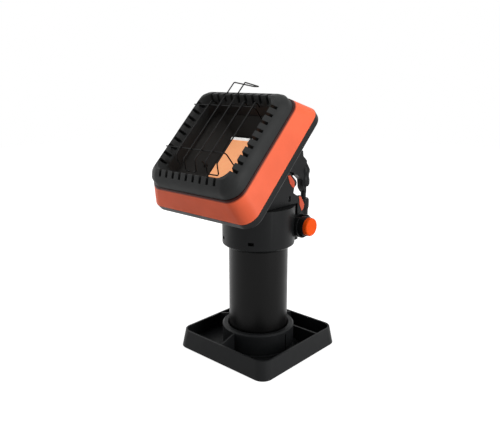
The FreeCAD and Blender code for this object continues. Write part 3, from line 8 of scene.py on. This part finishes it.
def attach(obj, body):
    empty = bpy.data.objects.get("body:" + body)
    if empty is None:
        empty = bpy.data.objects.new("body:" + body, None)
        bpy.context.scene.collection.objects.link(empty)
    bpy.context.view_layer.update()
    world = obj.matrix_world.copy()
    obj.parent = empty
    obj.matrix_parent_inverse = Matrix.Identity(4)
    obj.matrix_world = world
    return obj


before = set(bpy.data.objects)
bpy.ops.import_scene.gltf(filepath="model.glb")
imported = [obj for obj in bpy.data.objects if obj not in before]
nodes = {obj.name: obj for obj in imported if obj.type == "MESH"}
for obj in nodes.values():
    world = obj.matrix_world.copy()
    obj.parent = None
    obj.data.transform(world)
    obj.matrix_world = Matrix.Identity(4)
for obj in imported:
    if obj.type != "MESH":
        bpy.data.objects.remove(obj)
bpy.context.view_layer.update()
scene = bpy.context.scene

MM = 0.001
HEAD_ANGLE = math.radians(45)
TILT_AXIS = Vector((0, 0.025, 0.261))
BUMP_HEIGHT = 0.0002


# Node material helpers

def linker(tree):
    """Function that joins a node's named output to another's named input."""
    def link(a, a_out, b, b_in):
        tree.links.new(a.outputs[a_out], b.inputs[b_in])
    return link


def node_tree(name):
    """New material with its node tree, its shader and the function that links its nodes."""
    material = bpy.data.materials.new(name)
    material.use_nodes = True
    tree = material.node_tree
    return material, tree, tree.nodes["Principled BSDF"], linker(tree)


def noise(tree, link, scale, detail=3.0, stretch=(1, 1, 1)):
    """Noise in object space, so that it stays on the piece."""
    place = tree.nodes.new("ShaderNodeTexCoord")
    mapping = tree.nodes.new("ShaderNodeMapping")
    mapping.inputs["Scale"].default_value = stretch
    texture = tree.nodes.new("ShaderNodeTexNoise")
    texture.inputs["Scale"].default_value = scale
    texture.inputs["Detail"].default_value = detail
    link(place, "Object", mapping, "Vector")
    link(mapping, "Vector", texture, "Vector")
    return texture


def ramp(tree, link, source, stops):
    """Colour ramp over a factor, between two stops of place and colour."""
    node = tree.nodes.new("ShaderNodeValToRGB")
    for element, (place, colour) in zip(node.color_ramp.elements, stops):
        element.position = place
        element.color = (*colour, 1)
    link(source, "Fac", node, "Fac")
    return node


def bump(tree, link, source, output, shader, depth, height=BUMP_HEIGHT):
    """Relief on a shader from a factor."""
    node = tree.nodes.new("ShaderNodeBump")
    node.inputs["Strength"].default_value = depth
    node.inputs["Distance"].default_value = height
    link(source, output, node, "Height")
    link(node, "Normal", shader, "Normal")


def spread(tree, link, source, low, high):
    """Factor mapped to a range of numbers."""
    node = tree.nodes.new("ShaderNodeMapRange")
    node.inputs["From Min"].default_value = 0.3
    node.inputs["From Max"].default_value = 0.7
    node.inputs["To Min"].default_value = low
    node.inputs["To Max"].default_value = high
    link(source, "Fac", node, "Value")
    return node


def linear(red, green, blue):
    """Linear colour from 0 to 255 screen values."""
    def one(value):
        value = value / 255
        return value / 12.92 if value <= 0.04045 else ((value + 0.055) / 1.055) ** 2.4
    return one(red), one(green), one(blue)


def tint(colour, factor):
    """Colour made lighter or darker by a factor."""
    return tuple(min(1.0, part * factor) for part in colour)


def moulded(name, colour, rough, grain, depth, wear_and_highlight=0.2, metallic=0.0, specular=0.2, glow=0.0):
    """Coloured surface with fine grain, slow colour change, paler edges that are partly wear and partly
    painted highlight, and an optional painted glow.
    """
    material, tree, shader, link = node_tree(name)
    slow = noise(tree, link, 14, 4)
    colours = ramp(tree, link, slow, [(0.3, tint(colour, 0.88)), (0.7, tint(colour, 1.1))])
    # Paler edges: partly wear, partly a painted highlight along the edges
    edge = tree.nodes.new("ShaderNodeNewGeometry")
    worn_and_lit_edge = tree.nodes.new("ShaderNodeMapRange")
    worn_and_lit_edge.inputs["From Min"].default_value = 0.51
    worn_and_lit_edge.inputs["From Max"].default_value = 0.62
    worn_and_lit_edge.inputs["To Max"].default_value = wear_and_highlight
    link(edge, "Pointiness", worn_and_lit_edge, "Value")
    mix = tree.nodes.new("ShaderNodeMix")
    mix.data_type = "RGBA"
    mix.inputs[7].default_value = (*tint(tuple(part + 0.02 for part in colour), 1.7), 1)
    link(worn_and_lit_edge, "Result", mix, "Factor")
    link(colours, "Color", mix, 6)
    tree.links.new(mix.outputs[2], shader.inputs["Base Color"])
    rub = noise(tree, link, 60, 5)
    roughness = spread(tree, link, rub, rough[0], rough[1])
    link(roughness, "Result", shader, "Roughness")
    bump(tree, link, noise(tree, link, grain, 2), "Fac", shader, depth)
    shader.inputs["Metallic"].default_value = metallic
    shader.inputs["Specular IOR Level"].default_value = specular
    # Painted glow: the piece gives off its own colour as light, though it is no lamp
    if glow:
        tree.links.new(mix.outputs[2], shader.inputs["Emission Color"])
        shader.inputs["Emission Strength"].default_value = glow
    return material


def bare_metal(name, colour):
    """Brushed metal with slightly darker patches."""
    material, tree, shader, link = node_tree(name)
    slow = noise(tree, link, 22, 5)
    colours = ramp(tree, link, slow, [(0.35, tint(colour, 0.75)), (0.68, colour)])
    link(colours, "Color", shader, "Base Color")
    brushed = noise(tree, link, 240, 3, (1, 1, 12))
    link(spread(tree, link, brushed, 0.25, 0.4), "Result", shader, "Roughness")
    bump(tree, link, brushed, "Fac", shader, 0.12)
    shader.inputs["Metallic"].default_value = 1.0
    return material


HOLES_PER_METRE = 430
TILE_PAINTED_GLOW = 0.56


def ceramic_tile(name, colour):
    """Pale ceramic with rows of tiny flame holes, level with the head's tilted frame, given a painted glow
    of its own colour.
    """
    material, tree, shader, link = node_tree(name)
    place = tree.nodes.new("ShaderNodeTexCoord")
    turned = tree.nodes.new("ShaderNodeMapping")
    turned.inputs["Rotation"].default_value = (-HEAD_ANGLE, 0, 0)
    turned.inputs["Scale"].default_value = (HOLES_PER_METRE,) * 3
    link(place, "Object", turned, "Vector")
    flat = tree.nodes.new("ShaderNodeVectorMath")
    flat.operation = "MULTIPLY"
    flat.inputs[1].default_value = (1, 1, 0)
    link(turned, "Vector", flat, 0)
    cell = tree.nodes.new("ShaderNodeTexVoronoi")
    cell.inputs["Scale"].default_value = 1
    cell.inputs["Randomness"].default_value = 0.12
    link(flat, "Vector", cell, "Vector")
    hole = tree.nodes.new("ShaderNodeMapRange")
    hole.inputs["From Min"].default_value = 0.2
    hole.inputs["From Max"].default_value = 0.34
    link(cell, "Distance", hole, "Value")
    slow = noise(tree, link, 18, 4)
    face = ramp(tree, link, slow, [(0.3, tint(colour, 0.94)), (0.7, tint(colour, 1.04))])
    mix = tree.nodes.new("ShaderNodeMix")
    mix.data_type = "RGBA"
    mix.inputs[6].default_value = (*tint(colour, 0.62), 1)
    link(hole, "Result", mix, "Factor")
    link(face, "Color", mix, 7)
    tree.links.new(mix.outputs[2], shader.inputs["Base Color"])
    bump(tree, link, hole, "Result", shader, 0.5, 2 * BUMP_HEIGHT)
    shader.inputs["Roughness"].default_value = 0.85
    # Painted glow: the tile gives off its own colour as light, though it is no lamp
    tree.links.new(mix.outputs[2], shader.inputs["Emission Color"])
    shader.inputs["Emission Strength"].default_value = TILE_PAINTED_GLOW
    return material


# Level and width of the painted shadow band under the guard's edge
SEAM_SHADOW_LEVEL = 0.1453
SEAM_SHADOW_WIDTH = 0.0048


def seam_shadow_mask(tree, link, level, width):
    """1 where the painted shadow goes, near the head's orange lip, at a level above the tilt axis in the
    head's own frame.
    """
    place = tree.nodes.new("ShaderNodeTexCoord")
    along = tree.nodes.new("ShaderNodeVectorMath")
    along.operation = "DOT_PRODUCT"
    outward = Vector((0, -math.sin(HEAD_ANGLE), math.cos(HEAD_ANGLE)))
    along.inputs[1].default_value = outward
    link(place, "Object", along, 0)
    mask = tree.nodes.new("ShaderNodeMapRange")
    axis = outward.dot(TILT_AXIS)
    mask.inputs["From Min"].default_value = axis + level - width
    mask.inputs["From Max"].default_value = axis + level - width * 0.45
    link(along, "Value", mask, "Value")
    return mask


def paint_shadow(material, mask, colour):
    """Mix a painted shadow colour into a finished material where the mask is 1."""
    tree = material.node_tree
    shader = tree.nodes["Principled BSDF"]
    before = shader.inputs["Base Color"].links[0].from_socket
    mix = tree.nodes.new("ShaderNodeMix")
    mix.data_type = "RGBA"
    mix.inputs[7].default_value = (*colour, 1)
    tree.links.new(mask.outputs["Result"], mix.inputs["Factor"])
    tree.links.new(before, mix.inputs[6])
    tree.links.new(mix.outputs[2], shader.inputs["Base Color"])


def orange_paint():
    """Orange shell's paint, with a painted shadow in the seam below the guard."""
    material = moulded("OrangePaint", linear(246, 108, 72), (0.42, 0.5), 700, 0.06, 0.0, specular=0.14)
    tree = material.node_tree
    mask = seam_shadow_mask(tree, linker(tree), SEAM_SHADOW_LEVEL, SEAM_SHADOW_WIDTH)
    # Painted shadow: dark brown in the seam under the guard's edge
    paint_shadow(material, mask, linear(52, 15, 9))
    return material


MATERIALS = {
    "tray": moulded("TrayPlastic", linear(23, 24, 25), (0.4, 0.5), 1100, 0.16, 0.3, specular=0.11),
    "housing": moulded("HousingPlastic", linear(17, 18, 19), (0.36, 0.46), 1000, 0.14, 0.25, specular=0.12),
    # The back shell's strong paler edges are a painted highlight along its rear edge
    "shell": moulded("BackPlastic", linear(19, 20, 21), (0.38, 0.48), 1000, 0.14, 0.7, specular=0.12),
    "guard": moulded("GuardCoat", linear(41, 42, 42), (0.46, 0.56), 1400, 0.12, 0.1, specular=0.12),
    "bottle": moulded("BottlePaint", linear(4, 4, 4), (0.3, 0.36), 500, 0.04, 0.05, specular=0.13),
    "orange": orange_paint(),
    "cap": moulded("CapPlastic", linear(250, 84, 10), (0.4, 0.48), 700, 0.05, 0.0, specular=0.1),
    "lens": moulded("LensPlastic", linear(206, 80, 50), (0.25, 0.35), 500, 0.04, 0.0, specular=0.2),
    "rubber": moulded("PadRubber", linear(20, 20, 21), (0.7, 0.85), 700, 0.3, specular=0.15),
    "wire": moulded("WireCoat", linear(8, 8, 8), (0.4, 0.5), 500, 0.05, 0.0, specular=0.14),
    "gasket": moulded("GasketFibre", linear(240, 234, 224), (0.85, 0.95), 1500, 0.6),
    "pan": moulded("PanSteel", linear(34, 32, 30), (0.5, 0.6), 300, 0.08, 0.1, 0.3, specular=0.12),
    "zinc": bare_metal("ZincSteel", linear(168, 170, 172)),
    "brass": bare_metal("Brass", linear(190, 156, 88)),
    "tube": bare_metal("BareTube", linear(176, 178, 182)),
    "tile": ceramic_tile("TileCeramicPaintedGlow", linear(255, 174, 122)),
    "porcelain": moulded("Porcelain", linear(48, 46, 44), (0.4, 0.5), 300, 0.05, 0.0),
    # White strip: its white colour and glow are a painted highlight along the tile's top edge
    "white": moulded("StripPaintedHighlight", linear(250, 246, 242), (0.8, 0.9), 1500, 0.3, 0.0, glow=0.5),
    "dark": moulded("LipPaint", linear(6, 5, 5), (0.6, 0.7), 700, 0.1, 0.0, specular=0.05),
    # Rivet heads: their pale colour and glow are a painted glint
    "pale": moulded("RivetPaintedGlint", linear(235, 235, 235), (0.4, 0.5), 700, 0.05, 0.0, glow=0.3),
}

DRESS = {
    "tray": ["base_tray"],
    "rubber": ["foot_front_left", "foot_front_right", "foot_rear_right", "foot_rear_left"],
    "bottle": ["gas_bottle", "bottle_foot_ring"],
    "brass": ["bottle_valve", "bottle_valve_pin", "bottle_relief_valve", "gas_valve_body", "inlet_nut",
              "gas_regulator", "swivel_inlet", "swivel_outlet", "gas_jet"],
    "housing": ["lower_housing", "deck_plate", "cheek_right", "cheek_left", "rear_cowl",
                "handle_bracket_upper", "handle_bracket_lower", "handle_bar", "knob_bezel", "knob_skirt",
                "tilt_neck", "tip_switch_case", "igniter_module"],
    "shell": ["back_shell"],
    "lens": ["inlay_upper_right", "inlay_lower_right", "inlay_upper_left", "inlay_lower_left"],
    "cap": ["knob_cap"],
    "orange": ["orange_shell"],
    "guard": ["front_guard"],
    "pan": ["reflector_pan", "heat_shield", "tile_frame"],
    "tile": ["burner_tile"],
    "gasket": ["tile_gasket"],
    "zinc": ["deck_screws", "shell_screws", "tilt_pin", "valve_plunger", "valve_spindle", "tip_switch_ball",
             "burner_box", "mixing_tube", "tilt_washers"],
    "tube": ["feed_pipe", "riser_pipe", "head_pipe"],
    "wire": ["guard_wire_left", "guard_wire_right", "guard_cross_upper", "guard_cross_lower"],
    "porcelain": ["spark_electrode", "heat_sensor"],
}

# Edge rounding of the CAD pieces, in millimetres
ROUND = {
    "base_tray": 0.9, "lower_housing": 0.8, "deck_plate": 0.3, "cheek_right": 0.5, "cheek_left": 0.5,
    "rear_cowl": 0.8, "handle_bracket_upper": 1.4, "handle_bracket_lower": 1.2, "handle_bar": 0.4,
    "knob_bezel": 0.7, "knob_skirt": 0.5, "knob_cap": 0.5, "tilt_neck": 1.0, "back_shell": 0.8,
    "orange_shell": 0.5, "front_guard": 0.6, "inlay_upper_right": 0.4, "inlay_lower_right": 0.4,
    "inlay_upper_left": 0.4, "inlay_lower_left": 0.4, "reflector_pan": 0.25, "tile_frame": 0.2,
    "burner_tile": 0.3,
}


def dress(name, material):
    """Give a CAD node its material, round edges and smooth shading."""
    obj = nodes[name]
    obj.data.materials.clear()
    obj.data.materials.append(material)
    normals = obj.data.attributes.get("custom_normal")
    if normals:
        obj.data.attributes.remove(normals)
    weld = obj.modifiers.new("Weld", "WELD")
    weld.merge_threshold = 1e-6
    if name in ROUND:
        bevel = obj.modifiers.new("Round", "BEVEL")
        bevel.width = ROUND[name] * MM
        bevel.segments = 2
        bevel.limit_method = "ANGLE"
        bevel.angle_limit = math.radians(32)
        bevel.harden_normals = False
    obj.data.polygons.foreach_set("use_smooth", [True] * len(obj.data.polygons))
    normal = obj.modifiers.new("Normals", "WEIGHTED_NORMAL")
    normal.keep_sharp = True
    normal.weight = 80


for key, names in DRESS.items():
    for name in names:
        dress(name, MATERIALS[key])


# Pieces that only the render has

HEAD_FRAME = Matrix.Translation(TILT_AXIS) @ Matrix.Rotation(HEAD_ANGLE, 4, "X")


def head_point(x, y, z):
    """Point given in millimetres in the head's own frame, from the tilt axis."""
    return HEAD_FRAME @ Vector((x * MM, y * MM, z * MM))


def add_piece(name, mesh, material, body):
    """Put a finished mesh into the scene as a piece on a body."""
    for polygon in mesh.polygons:
        polygon.use_smooth = True
    mesh.materials.append(MATERIALS[material])
    obj = bpy.data.objects.new(name, mesh)
    scene.collection.objects.link(obj)
    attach(obj, body)
    return obj


def tube(name, points, radius, material, body):
    """Round wire along a smooth line near the points, as a mesh."""
    curve = bpy.data.curves.new(name + "_line", "CURVE")
    curve.dimensions = "3D"
    spline = curve.splines.new("NURBS")
    spline.points.add(len(points) - 1)
    for point, place in zip(spline.points, points):
        point.co = (*place, 1)
    spline.order_u = 3
    spline.use_endpoint_u = True
    spline.resolution_u = 8
    curve.bevel_depth = radius * MM
    curve.bevel_resolution = 3
    curve.use_fill_caps = True
    drawn = bpy.data.objects.new(name + "_draw", curve)
    scene.collection.objects.link(drawn)
    bpy.context.view_layer.update()
    mesh = bpy.data.meshes.new_from_object(drawn)
    mesh.name = name
    mesh.materials.clear()
    bpy.data.objects.remove(drawn)
    bpy.data.curves.remove(curve)
    return add_piece(name, mesh, material, body)


def rounded_bar(name, low, high, edge, material, body):
    """Bar with rounded edges between two corners in the head's frame."""
    mesh = bpy.data.meshes.new(name)
    work = bmesh.new()
    bmesh.ops.create_cube(work, size=1)
    for vert in work.verts:
        place = [low[k] + (vert.co[k] + 0.5) * (high[k] - low[k]) for k in range(3)]
        vert.co = head_point(*place)
    bmesh.ops.bevel(work, geom=list(work.edges), offset=edge * MM, segments=3, affect="EDGES")
    bmesh.ops.recalc_face_normals(work, faces=work.faces)
    work.to_mesh(mesh)
    work.free()
    return add_piece(name, mesh, material, body)


# White strip above the tile, its white colour and glow a painted highlight, and the dark lip over it
rounded_bar("tile_top_strip", (-27, 24.2, 110.6), (27, 29.6, 111.9), 0.5, "white", "head")
rounded_bar("tile_top_lip", (-27.5, 29.4, 110.2), (27.5, 31.4, 112.6), 0.6, "dark", "head")

# Fifth wire, farther left than the pair with the loop
LEFT_WIRE = [(-50, 58, 151), (-50, 57.5, 165), (-50, 50, 167), (-50, 10, 167), (-50, -30, 167),
             (-50, -48, 167), (-50, -57, 163), (-49, -60, 155), (-46, -60, 152)]
tube("guard_wire_outer", [head_point(*point) for point in LEFT_WIRE], 0.9, "wire", "head")


# Pale rivet heads behind the outer ends of three of the guard's lower slots, their pale colour and glow a
# painted glint: place across, radius
RIVETS = [(14.3, 0.9), (42.9, 0.9), (57.2, 1.25)]
RIVET_DOWN = -95.2
RIVET_LEVEL = 160.8
for number, (across, radius) in enumerate(RIVETS):
    mesh = bpy.data.meshes.new("slot_rivet_%d" % number)
    work = bmesh.new()
    bmesh.ops.create_uvsphere(work, u_segments=16, v_segments=8, radius=radius * MM)
    for vert in work.verts:
        x, y, z = vert.co / MM
        vert.co = head_point(across + x, RIVET_DOWN + y, RIVET_LEVEL + z)
    work.to_mesh(mesh)
    work.free()
    add_piece("slot_rivet_%d" % number, mesh, "pale", "head")


# Camera, floor and light

AZIMUTH = math.radians(42.19)
PITCH = math.radians(14.68)
FOCAL_LENGTH = 40.67
CAMERA_PLACE = (0.5985, -0.6812, 0.4561)

camera_data = bpy.data.cameras.new("Camera")
camera_data.sensor_width = 36
camera_data.lens = FOCAL_LENGTH
camera = bpy.data.objects.new("Camera", camera_data)
camera.location = CAMERA_PLACE
camera.rotation_euler = (math.pi / 2 - PITCH, 0, AZIMUTH)
scene.collection.objects.link(camera)
scene.camera = camera

scene.view_settings.view_transform = "Standard"


def seen_directly(tree):
    """1 for the camera's rays and for those mirrored or let through by a surface."""
    path = tree.nodes.new("ShaderNodeLightPath")
    first = tree.nodes.new("ShaderNodeMath")
    first.operation = "MAXIMUM"
    tree.links.new(path.outputs["Is Camera Ray"], first.inputs[0])
    tree.links.new(path.outputs["Is Glossy Ray"], first.inputs[1])
    both = tree.nodes.new("ShaderNodeMath")
    both.operation = "MAXIMUM"
    tree.links.new(first.outputs[0], both.inputs[0])
    tree.links.new(path.outputs["Is Transmission Ray"], both.inputs[1])
    return both.outputs[0]


# Distances from the middle, in metres, between which the floor goes from its shaded glow to white
SHADED_OUT_TO = 0.12
WHITE_FROM = 0.5
SHADED_GLOW = 0.8


def stage_material():
    """Pale floor that keeps the shadow round the tray and looks plain white further off."""
    material, tree, shader, link = node_tree("Floor")
    shader.inputs["Base Color"].default_value = (0.5, 0.5, 0.5, 1)
    shader.inputs["Roughness"].default_value = 0.9
    shader.inputs["Specular IOR Level"].default_value = 0.0
    shader.inputs["Emission Color"].default_value = (1, 1, 1, 1)
    place = tree.nodes.new("ShaderNodeTexCoord")
    away = tree.nodes.new("ShaderNodeVectorMath")
    away.operation = "LENGTH"
    link(place, "Object", away, 0)
    glow = tree.nodes.new("ShaderNodeMapRange")
    glow.inputs["From Min"].default_value = SHADED_OUT_TO
    glow.inputs["From Max"].default_value = WHITE_FROM
    glow.inputs["To Min"].default_value = SHADED_GLOW
    glow.inputs["To Max"].default_value = 1.0
    link(away, "Value", glow, "Value")
    scale = tree.nodes.new("ShaderNodeMath")
    scale.operation = "MULTIPLY"
    tree.links.new(seen_directly(tree), scale.inputs[0])
    link(glow, "Result", scale, 1)
    link(scale, "Value", shader, "Emission Strength")
    return material


floor_mesh = bpy.data.meshes.new("Floor")
FLOOR_REACH = 3.0
corners = [(x * FLOOR_REACH, y * FLOOR_REACH, 0) for x, y in ((-1, -1), (1, -1), (1, 1), (-1, 1))]
floor_mesh.from_pydata(corners, [], [(0, 1, 2, 3)])
floor = bpy.data.objects.new("Floor", floor_mesh)
floor.location.z = -0.2 * MM
scene.collection.objects.link(floor)
floor.data.materials.append(stage_material())

world = bpy.data.worlds.new("Studio")
scene.world = world
world.use_nodes = True
tree = world.node_tree
background = tree.nodes["Background"]
background.inputs["Color"].default_value = (1, 1, 1, 1)
strength = tree.nodes.new("ShaderNodeMapRange")
strength.inputs["To Min"].default_value = 0.3
strength.inputs["To Max"].default_value = 1.0
tree.links.new(seen_directly(tree), strength.inputs["Value"])
tree.links.new(strength.outputs["Result"], background.inputs["Strength"])


def lamp(name, place, target, width, height, power):
    """Soft box aimed at a point."""
    data = bpy.data.lights.new(name, "AREA")
    data.shape = "RECTANGLE"
    data.size = width
    data.size_y = height
    data.energy = power
    obj = bpy.data.objects.new(name, data)
    obj.location = place
    aim = Vector(target) - Vector(place)
    obj.rotation_euler = aim.to_track_quat("-Z", "Y").to_euler()
    scene.collection.objects.link(obj)


lamp("RightSoftbox", (1.7, 0.05, 0.75), (0, -0.03, 0.25), 0.45, 1.3, 20)
lamp("LeftSoftbox", (-1.2, -0.45, 0.6), (0, 0, 0.2), 0.35, 1.3, 5)
lamp("TopSoftbox", (-0.1, -0.3, 1.9), (0, -0.05, 0.3), 1.2, 1.2, 10)
